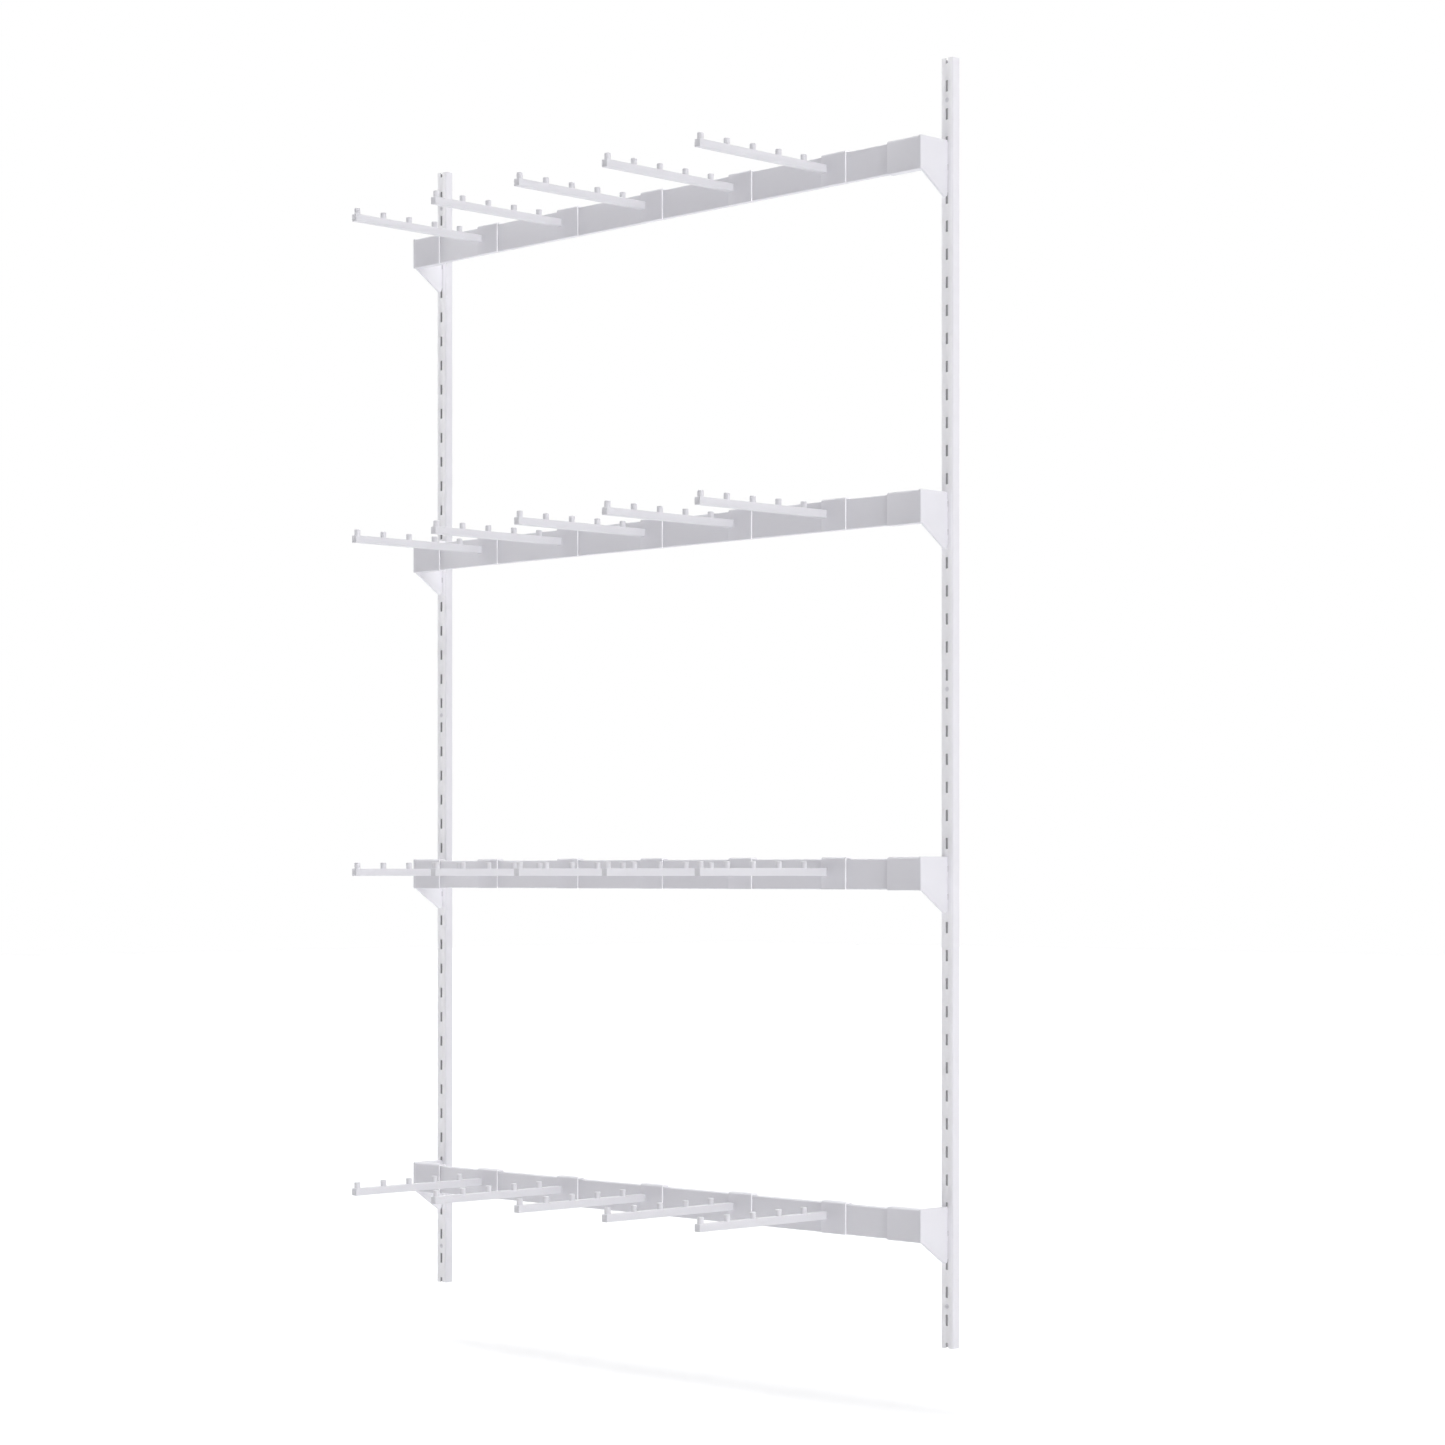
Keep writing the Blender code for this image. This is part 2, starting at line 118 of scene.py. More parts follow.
room = bpy.data.worlds.new("room")
bpy.context.scene.world = room
room.use_nodes = True
sky = room.node_tree.nodes["Background"]
sky.inputs["Color"].default_value = (1, 1, 1, 1)
heading = room.node_tree.nodes.new("ShaderNodeTexCoord")
split = room.node_tree.nodes.new("ShaderNodeSeparateXYZ")
room.node_tree.links.new(heading.outputs["Generated"], split.inputs["Vector"])
front_fade = ranged(room.node_tree, split.outputs["Y"], 0, RING_LIGHT, RING_FRONT, RING_FULL)
wall_fade = ranged(room.node_tree, split.outputs["Y"], RING_LIGHT, WALL_LIGHT, 0, RING_BACK)
light = combine(room.node_tree, "MINIMUM", front_fade, wall_fade)
shown = room.node_tree.nodes.new("ShaderNodeMix")
shown.inputs["B"].default_value = 1
room.node_tree.links.new(seen_directly(room.node_tree), shown.inputs["Factor"])
room.node_tree.links.new(light, shown.inputs["A"])
room.node_tree.links.new(shown.outputs["Result"], sky.inputs["Strength"])

bpy.ops.mesh.primitive_plane_add(size=FLOOR_SIZE, location=(0, 0, -FLOOR_DROP))
floor = bpy.context.object
floor.name = "white_floor"
floor_paint = bpy.data.materials.new("white_floor_paint")
floor_paint.use_nodes = True
floor_shader = floor_paint.node_tree.nodes["Principled BSDF"]
floor_shader.inputs["Base Color"].default_value = FLOOR_COLOUR
floor_shader.inputs["Roughness"].default_value = FLOOR_ROUGHNESS
floor_shader.inputs["Emission Color"].default_value = (1, 1, 1, 1)
lift = ranged(floor_paint.node_tree, seen_directly(floor_paint.node_tree), 0, FLOOR_LIFT)
floor_paint.node_tree.links.new(lift, floor_shader.inputs["Emission Strength"])
floor.data.materials.append(floor_paint)

# Uprights: two channels folded from 2 mm steel sheet, open to the wall. Each web is pierced with
# a slot every 50 mm, half slots at the ends, and three countersunk holes for the wall screws.
# They are powder-coated white, with a painted highlight on the web's front and painted dark grey
# shade inside the fold and slots.
WALL = 0.002
FOLD_RADIUS = 0.003
FOLD_STEPS = 6
SLOT_WIDTH = 0.006
SLOT_HEIGHT = 0.020
SLOT_PITCH = 0.050
SLOT_COUNT = 47
SLOT_CORNER = 0.0006
HOLE_HEIGHTS = (2.225, 1.175, 0.075)
HOLE_RIM = 0.00462
HOLE_BORE = 0.0026
HOLE_SIDES = 32
SHEET_EDGE = 0.0003
EDGE_ANGLE = math.radians(40)
SMOOTH_ANGLE = math.radians(38)
CUT_PAST = 0.002

# A face or an edge is picked where its normal or direction follows an axis at least this closely.
STRAIGHT = 0.9


def only(piece):
    """Select one piece alone."""
    bpy.ops.object.select_all(action="DESELECT")
    piece.select_set(True)
    bpy.context.view_layer.objects.active = piece


def add_block(name, low, high):
    """Add a block between two corners, its place kept in its mesh."""
    bpy.ops.object.select_all(action="DESELECT")
    low, high = Vector(low), Vector(high)
    bpy.ops.mesh.primitive_cube_add(size=1, location=(low + high) / 2)
    block = bpy.context.object
    block.name = block.data.name = name
    block.scale = high - low
    bpy.ops.object.transform_apply()
    return block


def pick_faces(piece, wanted):
    """Select the faces, in edit mode, whose middle and normal pass a test."""
    bpy.ops.mesh.select_mode(type="FACE")
    bpy.ops.mesh.select_all(action="DESELECT")
    mesh = bmesh.from_edit_mesh(piece.data)
    for face in mesh.faces:
        face.select_set(wanted(face.calc_center_median(), face.normal))
    bmesh.update_edit_mesh(piece.data)


def pick_edges(piece, wanted):
    """Select the edges, in edit mode, whose middle and direction pass a test."""
    bpy.ops.mesh.select_mode(type="EDGE")
    bpy.ops.mesh.select_all(action="DESELECT")
    mesh = bmesh.from_edit_mesh(piece.data)
    for edge in mesh.edges:
        start, end = (corner.co for corner in edge.verts)
        edge.select_set(wanted((start + end) / 2, (end - start).normalized()))
    bmesh.update_edit_mesh(piece.data)


def apply_change(piece, kind, **values):
    """Add one modifier to a piece and apply it."""
    only(piece)
    change = piece.modifiers.new(kind.lower(), kind)
    for name, value in values.items():
        setattr(change, name, value)
    bpy.ops.object.modifier_apply(modifier=change.name)


def fold_sheet(name, low, high, open_faces, bends, radius, sheet):
    """Fold a sheet round a block: leave out its open faces, round its bends, give it a wall."""
    part = add_block(name, low, high)
    bpy.ops.object.mode_set(mode="EDIT")
    pick_faces(part, open_faces)
    bpy.ops.mesh.delete(type="FACE")
    pick_edges(part, bends)
    bpy.ops.mesh.bevel(offset=radius, segments=FOLD_STEPS, affect="EDGES")
    bpy.ops.object.mode_set(mode="OBJECT")
    apply_change(part, "SOLIDIFY", thickness=sheet, offset=-1, use_even_offset=True)
    return part


def join_or_cut(piece, other, operation):
    """Join another shape to a piece or cut it by that shape, which is used up."""
    apply_change(piece, "BOOLEAN", operation=operation, solver="EXACT", object=other)
    bpy.data.objects.remove(other, do_unlink=True)


def break_edges(piece, width, steps=2):
    """Break a piece's sharp edges and smooth its round ones."""
    apply_change(
        piece, "BEVEL", width=width, segments=steps, limit_method="ANGLE",
        angle_limit=EDGE_ANGLE, use_clamp_overlap=False,
    )
    bpy.ops.object.shade_smooth_by_angle(angle=SMOOTH_ANGLE)


def dress(master, name, node, body, material):
    """Put a copy of a finished piece in a node's place, on its body and with its coat.

    The master stands where the first node of its kind stands, which it keeps in "model".
    """
    only(master)
    bpy.ops.object.duplicate()
    piece = bpy.context.object
    piece.name = piece.data.name = name
    piece.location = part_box(node)[0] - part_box(master["model"])[0]
    bpy.ops.object.transform_apply()
    piece.data.materials.clear()
    piece.data.materials.append(material)
    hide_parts(node)
    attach(piece, body)
    return piece


COAT_WHITE = (0.760, 0.752, 0.797, 1)
COAT_SHADE = (0.745, 0.737, 0.783, 1)
COAT_GLOSS = (-0.04, 0.06)
PEEL_PER_METRE = 620
PEEL_DETAIL = 2.5
PEEL_ROUGHNESS = 0.42
PEEL_DEPTH = 0.0002
CLOUDS_PER_METRE = 9
CLOUD_DETAIL = 4
CLOUD_ROUGHNESS = 0.6


def coat_grain_group():
    """Build the fine grain of baked powder: orange peel and slow clouds."""
    group = bpy.data.node_groups.new("coat_grain", "ShaderNodeTree")
    face = group.interface
    face.new_socket("Place", in_out="INPUT", socket_type="NodeSocketVector")
    face.new_socket("Peel", in_out="INPUT", socket_type="NodeSocketFloat")
    face.new_socket("Cloud", in_out="INPUT", socket_type="NodeSocketFloat")
    face.new_socket("Height", in_out="OUTPUT", socket_type="NodeSocketFloat")
    face.new_socket("Clouds", in_out="OUTPUT", socket_type="NodeSocketFloat")
    start = group.nodes.new("NodeGroupInput")
    end = group.nodes.new("NodeGroupOutput")
    for scale, result, detail, roughness in (
        ("Peel", "Height", PEEL_DETAIL, PEEL_ROUGHNESS),
        ("Cloud", "Clouds", CLOUD_DETAIL, CLOUD_ROUGHNESS),
    ):
        noise = group.nodes.new("ShaderNodeTexNoise")
        noise.inputs["Detail"].default_value = detail
        noise.inputs["Roughness"].default_value = roughness
        group.links.new(start.outputs["Place"], noise.inputs["Vector"])
        group.links.new(start.outputs[scale], noise.inputs["Scale"])
        group.links.new(noise.outputs["Fac"], end.inputs[result])
    return group


COAT_GRAIN = coat_grain_group()


def blend_colours(tree, mask, first, second):
    """Mix two colours, or two colour sockets, by a mask."""
    mix = tree.nodes.new("ShaderNodeMix")
    mix.data_type = "RGBA"
    tree.links.new(mask, mix.inputs["Factor"])
    for socket, colour in (("A", first), ("B", second)):
        inlet = next(i for i in mix.inputs if i.name == socket and i.type == "RGBA")
        if isinstance(colour, tuple):
            inlet.default_value = colour
        else:
            tree.links.new(colour, inlet)
    return next(o for o in mix.outputs if o.type == "RGBA")


def powder_coat(name, gloss=0.40, relief=0.25, white=COAT_WHITE, shade=COAT_SHADE):
    """Make a satin white powder coat, and return it with its colour and roughness."""
    material = bpy.data.materials.new(name)
    material.use_nodes = True
    tree = material.node_tree
    shader = tree.nodes["Principled BSDF"]
    place = tree.nodes.new("ShaderNodeTexCoord")
    grain = tree.nodes.new("ShaderNodeGroup")
    grain.node_tree = COAT_GRAIN
    grain.inputs["Peel"].default_value = PEEL_PER_METRE
    grain.inputs["Cloud"].default_value = CLOUDS_PER_METRE
    tree.links.new(place.outputs["Object"], grain.inputs["Place"])
    colour = blend_colours(tree, grain.outputs["Clouds"], white, shade)
    rough = ranged(tree, grain.outputs["Clouds"], gloss + COAT_GLOSS[0], gloss + COAT_GLOSS[1])
    bump = tree.nodes.new("ShaderNodeBump")
    bump.inputs["Strength"].default_value = relief
    bump.inputs["Distance"].default_value = PEEL_DEPTH
    tree.links.new(grain.outputs["Height"], bump.inputs["Height"])
    tree.links.new(bump.outputs["Normal"], shader.inputs["Normal"])
    tree.links.new(colour, shader.inputs["Base Color"])
    tree.links.new(rough, shader.inputs["Roughness"])
    return material, colour, rough


def axis_of(tree, axis):
    """Add the object's own coordinate along one axis."""
    place = tree.nodes.new("ShaderNodeTexCoord")
    split = tree.nodes.new("ShaderNodeSeparateXYZ")
    tree.links.new(place.outputs["Object"], split.inputs["Vector"])
    return split.outputs[axis]


# The coat's painted highlight and painted shade follow these bands: depths from the wall, or
# distances from the upright's middle.
# Painted highlight: a whiter colour for the web's front, and for the faces given painted light
# further on.
PAINTED_LIGHT_WHITE = (0.975, 0.967, 1.000, 1)
# Painted shade: dark grey for the inside of the fold and the slots' walls.
PAINTED_SHADE_GREY = (0.20, 0.20, 0.21, 1)
WEB_FRONT_BAND = (-0.0179, -0.0170)
SLOT_FRONT_BAND = (-0.0178, -0.0170)
SLOT_REAR_BAND = (-0.0164, -0.0160)
SLOT_SIDE_BAND = (0.0100, 0.0110)
FOLD_FRONT_BAND = (-0.0156, -0.0140)
FOLD_SIDE_BAND = (0.0120, 0.0126)
FOLD_MOUTH_BAND = (-0.0060, 0.0)
FOLD_MOUTH_SHARE = 0.35
UPRIGHT_GLAZE = 1.0
UPRIGHT_GLAZE_ROUGHNESS = 0.25


def upright_coat(name, middle):
    """Glossier powder coat for an upright whose middle is at this X.

    Its web's front carries a painted highlight in a whiter colour, and its slots and fold carry
    painted shade in dark grey.
    """
    material, colour = powder_coat(name)[:2]
    tree = material.node_tree
    shader = tree.nodes["Principled BSDF"]
    shader.inputs["Coat Weight"].default_value = UPRIGHT_GLAZE
    shader.inputs["Coat Roughness"].default_value = UPRIGHT_GLAZE_ROUGHNESS
    depth = axis_of(tree, "Y")
    across = combine(tree, "ABSOLUTE", combine(tree, "SUBTRACT", axis_of(tree, "X"), middle), 0)
    # Painted highlight: the web's front is painted whiter.
    colour = blend_colours(tree, ranged(tree, depth, 1, 0, *WEB_FRONT_BAND), colour, PAINTED_LIGHT_WHITE)
    # Painted shade: the fold's inside and the slots' walls are painted dark grey, less towards the
    # open back.
    in_fold = combine(
        tree, "MULTIPLY", ranged(tree, across, 1, 0, *FOLD_SIDE_BAND),
        ranged(tree, depth, 0, 1, *FOLD_FRONT_BAND),
    )
    in_slot = combine(
        tree, "MULTIPLY", ranged(tree, depth, 0, 1, *SLOT_FRONT_BAND),
        ranged(tree, depth, 1, 0, *SLOT_REAR_BAND),
    )
    in_slot = combine(tree, "MULTIPLY", in_slot, ranged(tree, across, 1, 0, *SLOT_SIDE_BAND))
    deep = ranged(tree, depth, 1, FOLD_MOUTH_SHARE, *FOLD_MOUTH_BAND)
    inside = combine(tree, "MULTIPLY", combine(tree, "MAXIMUM", in_fold, in_slot), deep)
    grey = blend_colours(tree, inside, colour, PAINTED_SHADE_GREY)
    tree.links.new(grey, shader.inputs["Base Color"])
    return material


low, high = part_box("upright_left")
web_front, web_back = low.y, low.y + WALL
middle = (low.x + high.x) / 2
upright = fold_sheet(
    "upright", low, high,
    open_faces=lambda place, normal: normal.y > STRAIGHT or abs(normal.z) > STRAIGHT,
    bends=lambda place, along: abs(along.z) > STRAIGHT and place.y < web_back,
    radius=FOLD_RADIUS, sheet=WALL,
)
upright["model"] = "upright_left"

punch = add_block(
    "slot_punch",
    (middle - SLOT_WIDTH / 2, web_front - CUT_PAST, -SLOT_HEIGHT / 2),
    (middle + SLOT_WIDTH / 2, web_back + CUT_PAST, SLOT_HEIGHT / 2),
)
bpy.ops.object.mode_set(mode="EDIT")
pick_edges(punch, lambda place, along: abs(along.y) > STRAIGHT)
bpy.ops.mesh.bevel(offset=SLOT_CORNER, segments=3, affect="EDGES")
bpy.ops.object.mode_set(mode="OBJECT")
apply_change(
    punch, "ARRAY", count=SLOT_COUNT, use_relative_offset=False,
    use_constant_offset=True, constant_offset_displace=(0, 0, SLOT_PITCH),
)
join_or_cut(upright, punch, "DIFFERENCE")

# The countersink runs on past the web's front by as much as it widens there.
for height in HOLE_HEIGHTS:
    bpy.ops.object.select_all(action="DESELECT")
    depth = CUT_PAST + HOLE_RIM - HOLE_BORE
    bpy.ops.mesh.primitive_cone_add(
        vertices=HOLE_SIDES, radius1=HOLE_RIM + CUT_PAST, radius2=HOLE_BORE, depth=depth,
        location=(middle, web_front - CUT_PAST + depth / 2, height),
        rotation=(-math.radians(90), 0, 0),
    )
    join_or_cut(upright, bpy.context.object, "DIFFERENCE")
break_edges(upright, SHEET_EDGE)

for side in ("left", "right"):
    node = "upright_" + side
    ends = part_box(node)
    coat = upright_coat(f"{side}_upright_powder_coat", (ends[0].x + ends[1].x) / 2)
    dress(upright, f"folded_upright_{side}", node, "frame", coat)
bpy.data.objects.remove(upright, do_unlink=True)

# Wall screws: six zinc-plated wood screws with countersunk cross heads, lacquered white, that
# sit flush in the webs. Their threads bite in the wall behind.
HEAD_RADIUS = 0.0042
HEAD_EDGE = 0.0002
NECK_RADIUS = 0.0021
NECK_FILLET = (0.0006, 0.0003)
NECK_LENGTH = 0.005
NECK_TAPER = 0.0008
CORE_RADIUS = 0.0015
THREAD_RADIUS = 0.00222
THREAD_ROOT = 0.0002
THREAD_HALF = 0.0006
THREAD_PITCH = 0.0022
THREAD_TURNS = 4
THREAD_STEPS = 20
THREAD_START = 0.0016
TIP_LENGTH = 0.004
TIP_HALFWAY = 0.62
TIP_RADIUS = 0.0001
TIP_THREAD = 0.05
SCREW_SIDES = 32
SCREW_SMOOTH_ANGLE = math.radians(30)
RECESS_WIDTH = 0.0011
RECESS_SPAN = 0.0046
RECESS_DEPTH = 0.0021
RECESS_ABOVE = 0.001
RECESS_TAPER = 0.45
LACQUER_GLOSS = 0.32
LACQUER_RELIEF = 0.10
ZINC = (0.62, 0.63, 0.66, 1)
ZINC_BAND = (-0.0163, -0.0150)


def turn_piece(name, start, forward, sides, rings):
    """Turn a round piece: from a disc at the start, draw it out ring by ring.

    Each ring is how far it lies forward of the start and its radius.
    """
    bpy.ops.object.select_all(action="DESELECT")
    start, forward = Vector(start), Vector(forward)
    turned = forward.to_track_quat("Z", "Y").to_euler()
    bpy.ops.mesh.primitive_circle_add(
        vertices=sides, radius=rings[0][1], fill_type="NGON",
        location=start + forward * rings[0][0], rotation=turned,
    )
    piece = bpy.context.object
    piece.name = piece.data.name = name
    bpy.ops.object.transform_apply()
    bpy.ops.object.mode_set(mode="EDIT")
    bpy.ops.mesh.select_all(action="SELECT")
    for (before, was), (after, now) in zip(rings, rings[1:]):
        step = forward * (after - before)
        bpy.ops.mesh.extrude_region_move(TRANSFORM_OT_translate={"value": step})
        factor = now / was
        bpy.ops.transform.resize(
            value=(factor, factor, factor), center_override=start + forward * after
        )
    bpy.ops.mesh.select_all(action="SELECT")
    bpy.ops.mesh.normals_make_consistent(inside=False)
    bpy.ops.object.mode_set(mode="OBJECT")
    return piece


low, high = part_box("wall_screw_left_1")
screw_axis = Vector(((low.x + high.x) / 2, low.y, (low.z + high.z) / 2))
screw_end = high.y - low.y
screw = turn_piece("screw", screw_axis, (0, 1, 0), SCREW_SIDES, [
    (0, HEAD_RADIUS - HEAD_EDGE),
    (HEAD_EDGE, HEAD_RADIUS),
    (HEAD_EDGE * 2, HEAD_RADIUS),
    (HEAD_RADIUS - NECK_RADIUS, NECK_RADIUS + NECK_FILLET[1]),
    (HEAD_RADIUS - NECK_RADIUS + NECK_FILLET[0], NECK_RADIUS),
    (NECK_LENGTH, NECK_RADIUS),
    (NECK_LENGTH + NECK_TAPER, CORE_RADIUS),
    (screw_end - TIP_LENGTH, CORE_RADIUS),
    (screw_end - TIP_LENGTH / 2, CORE_RADIUS * TIP_HALFWAY),
    (screw_end, TIP_RADIUS),
])
screw["model"] = "wall_screw_left_1"

# The thread is a thin wedge wound round the core and drawn in towards the tip.
bpy.ops.object.select_all(action="DESELECT")
bpy.ops.mesh.primitive_circle_add(vertices=3, radius=THREAD_HALF)
thread = bpy.context.object
thread.name = thread.data.name = "thread"
wedge = (
    (CORE_RADIUS - THREAD_ROOT, -THREAD_HALF),
    (CORE_RADIUS - THREAD_ROOT, THREAD_HALF),
    (THREAD_RADIUS, 0),
)
for corner, (out, up) in zip(thread.data.vertices, wedge):
    corner.co = (out, 0, up)
apply_change(
    thread, "SCREW", axis="Z", steps=THREAD_STEPS, render_steps=THREAD_STEPS,
    screw_offset=THREAD_PITCH, iterations=THREAD_TURNS,
)
bpy.ops.object.mode_set(mode="EDIT")
bpy.ops.mesh.select_all(action="DESELECT")
bpy.ops.mesh.select_mode(type="EDGE")
bpy.ops.mesh.select_non_manifold()
bpy.ops.mesh.fill_holes(sides=3)
bpy.ops.mesh.select_all(action="SELECT")
bpy.ops.mesh.normals_make_consistent(inside=False)
bpy.ops.object.mode_set(mode="OBJECT")
thread.rotation_euler = (-math.radians(90), 0, 0)
thread.location = screw_axis + Vector((0, NECK_LENGTH + THREAD_START, 0))
only(thread)
bpy.ops.object.transform_apply()
tip_start = screw_axis.y + screw_end - TIP_LENGTH
for corner in thread.data.vertices:
    left = 1 - (corner.co.y - tip_start) / TIP_LENGTH
    if left < 1:
        kept = max(left, TIP_THREAD)
        corner.co.x = screw_axis.x + (corner.co.x - screw_axis.x) * kept
        corner.co.z = screw_axis.z + (corner.co.z - screw_axis.z) * kept
join_or_cut(screw, thread, "UNION")

for turned in (False, True):
    across, up = (RECESS_SPAN, RECESS_WIDTH) if turned else (RECESS_WIDTH, RECESS_SPAN)
    blade = add_block(
        "recess",
        screw_axis - Vector((across / 2, RECESS_ABOVE, up / 2)),
        screw_axis + Vector((across / 2, RECESS_DEPTH, up / 2)),
    )
    bpy.ops.object.mode_set(mode="EDIT")
    pick_faces(blade, lambda place, normal: normal.y > STRAIGHT)
    bpy.ops.transform.resize(
        value=(RECESS_TAPER, 1, RECESS_TAPER),
        center_override=screw_axis + Vector((0, RECESS_DEPTH, 0)),
    )
    bpy.ops.object.mode_set(mode="OBJECT")
    join_or_cut(screw, blade, "DIFFERENCE")
only(screw)
bpy.ops.object.shade_smooth_by_angle(angle=SCREW_SMOOTH_ANGLE)


def screw_finish():
    """White lacquer over the head and bright zinc on the shank behind the web."""
    material, colour = powder_coat(
        "screw_lacquer_and_zinc", gloss=LACQUER_GLOSS, relief=LACQUER_RELIEF
    )[:2]
    tree = material.node_tree
    shader = tree.nodes["Principled BSDF"]
    zinc = ranged(tree, axis_of(tree, "Y"), 0, 1, *ZINC_BAND)
    tree.links.new(blend_colours(tree, zinc, colour, ZINC), shader.inputs["Base Color"])
    tree.links.new(zinc, shader.inputs["Metallic"])
    return material


screw_coat = screw_finish()
for side in ("left", "right"):
    for order in (1, 2, 3):
        dress(
            screw, f"cross_head_screw_{side}_{order}", f"wall_screw_{side}_{order}",
            "frame", screw_coat,
        )
bpy.data.objects.remove(screw, do_unlink=True)

# Brackets: a gusset cut from 5 mm plate, with two hooks that drop behind the upright's web, and
# a folded sleeve with a thin floor for the rail's end, welded to it and powder-coated. The hooks
# sit high on the plates of the top and bottom rows and low on the middle ones.
PLATE = 0.005
PLATE_LEDGE = 0.0005
PLATE_CORNER = 0.002
PLATE_HEIGHT = 0.1068
PLATE_FRONT_HEIGHT = 0.0606
PLATE_TOE = 0.0055
PLATE_HEEL_CUT = 0.0134
PLATE_REAR = -0.0183
PLATE_EDGE = 0.0004
SLEEVE_SHEET = 0.003
SLEEVE_DEPTH = 0.0186
SLEEVE_FLOOR = 0.001
SLEEVE_RADIUS = 0.004
SLEEVE_FOOT_RADIUS = 0.002
HOOKS_BELOW_TOP = {"high": (0.0029, 0.0529), "low": (0.0264, 0.0764)}
HOOK_ROWS = {"high": (1, 4), "low": (2, 3)}
HOOK_NECK_TOP = -0.0005
HOOK_NECK_SILL = -0.0097
HOOK_NECK = 0.0026
HOOK_FINGER = 0.005
HOOK_DROP = 0.007
HOOK_LEAD = 0.0015
NEAR = 0.0001


def cut_gusset(model, hooks):
    """Cut a left gusset plate in a node's place; its hooks' slots lie this far below its top."""
    low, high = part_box(model)
    foot = high.z - PLATE_FRONT_HEIGHT
    heel = high.z - PLATE_HEIGHT
    gusset = add_block("gusset", (low.x, low.y, foot), (low.x + PLATE, PLATE_REAR, high.z))
    gusset["model"] = model
    bpy.ops.object.mode_set(mode="EDIT")
    bpy.ops.mesh.select_all(action="SELECT")
    bpy.ops.mesh.bisect(plane_co=(0, low.y + PLATE_TOE, 0), plane_no=(0, 1, 0))
    pick_edges(gusset, lambda place, along: abs(along.x) > STRAIGHT
               and place.y > PLATE_REAR - NEAR and place.z < foot + NEAR)
    bpy.ops.transform.translate(value=(0, 0, heel - foot))
    middles = [high.z - below for below in hooks]
    for level in [middle + edge for middle in middles for edge in (HOOK_NECK_TOP, HOOK_NECK_SILL)]:
        bpy.ops.mesh.select_all(action="SELECT")
        bpy.ops.mesh.bisect(plane_co=(0, 0, level), plane_no=(0, 0, 1))
    pick_faces(gusset, lambda place, normal: normal.y > STRAIGHT and any(
        HOOK_NECK_SILL < place.z - middle < HOOK_NECK_TOP for middle in middles))
    bpy.ops.mesh.extrude_region_move(TRANSFORM_OT_translate={"value": (0, HOOK_NECK, 0)})
    bpy.ops.mesh.extrude_region_move(TRANSFORM_OT_translate={"value": (0, HOOK_FINGER, 0)})
    finger_from = PLATE_REAR + HOOK_NECK
    pick_faces(gusset, lambda place, normal: normal.z < -STRAIGHT and place.y > finger_from)
    bpy.ops.mesh.extrude_region_move(TRANSFORM_OT_translate={"value": (0, 0, -HOOK_DROP)})
    tips = [middle + HOOK_NECK_SILL - HOOK_DROP for middle in middles]
    pick_edges(gusset, lambda place, along: abs(along.x) > STRAIGHT
               and place.y > finger_from + HOOK_FINGER - NEAR
               and any(abs(place.z - tip) < NEAR for tip in tips))
    bpy.ops.mesh.bevel(offset=HOOK_LEAD, segments=1, affect="EDGES")
    pick_edges(gusset, lambda place, along: abs(along.x) > STRAIGHT and place.z < heel + NEAR)
    bpy.ops.mesh.bevel(offset=PLATE_HEEL_CUT, segments=10, affect="EDGES")
    pick_edges(gusset, lambda place, along: abs(along.x) > STRAIGHT and place.y < low.y + NEAR
               and (place.z > high.z - NEAR or place.z < foot + NEAR))
    bpy.ops.mesh.bevel(offset=PLATE_CORNER, segments=4, affect="EDGES")
    bpy.ops.object.mode_set(mode="OBJECT")
    return gusset


def fold_sleeve(near, far):
    """Fold the sleeve over the rail's end: a rounded block with a pocket through it."""
    sleeve = add_block("sleeve", near, far)
    pocket = add_block(
        "pocket",
        near + Vector((-CUT_PAST, SLEEVE_SHEET, SLEEVE_FLOOR)),
        far + Vector((CUT_PAST, -SLEEVE_SHEET, -SLEEVE_SHEET)),
    )
    for block, level, radius in (
        (sleeve, far.z, SLEEVE_RADIUS),
        (sleeve, near.z, SLEEVE_FOOT_RADIUS),
        (pocket, far.z - SLEEVE_SHEET, SLEEVE_RADIUS - SLEEVE_SHEET),
    ):
        only(block)
        bpy.ops.object.mode_set(mode="EDIT")
        pick_edges(block, lambda place, along: abs(along.x) > STRAIGHT
                   and abs(place.z - level) < NEAR)
        bpy.ops.mesh.bevel(offset=radius, segments=FOLD_STEPS, affect="EDGES")
        bpy.ops.object.mode_set(mode="OBJECT")
    join_or_cut(sleeve, pocket, "DIFFERENCE")
    return sleeve


BEAD_RADIUS = 0.0017
BEAD_INSET = 0.006
BEAD_STEP = 0.0007
BEAD_SIDES = 12
BEAD_CREST = 1.06
BEAD_VALLEY = 0.93
BEAD_TIP = 0.45
BEAD_SHOULDER = 0.85
BEAD_ROUNDING = 0.35


def lay_bead(name, start, end, radius):
    """Lay a weld bead along a line: a rod with a ripple every other step and round ends."""
    start, end = Vector(start), Vector(end)
    length = (end - start).length
    forward = (end - start).normalized()
    count = 2 * round(length / BEAD_STEP / 2)
    rounding = radius * BEAD_ROUNDING
    tip, shoulder = radius * BEAD_TIP, radius * BEAD_SHOULDER
    rings = [(0, tip), (rounding, shoulder)]
    for order in range(1, count):
        ripple = BEAD_CREST if order % 2 else BEAD_VALLEY
        rings.append((rounding + order * (length - 2 * rounding) / count, radius * ripple))
    rings += [(length - rounding, shoulder), (length, tip)]
    return turn_piece(name, start, forward, BEAD_SIDES, rings)


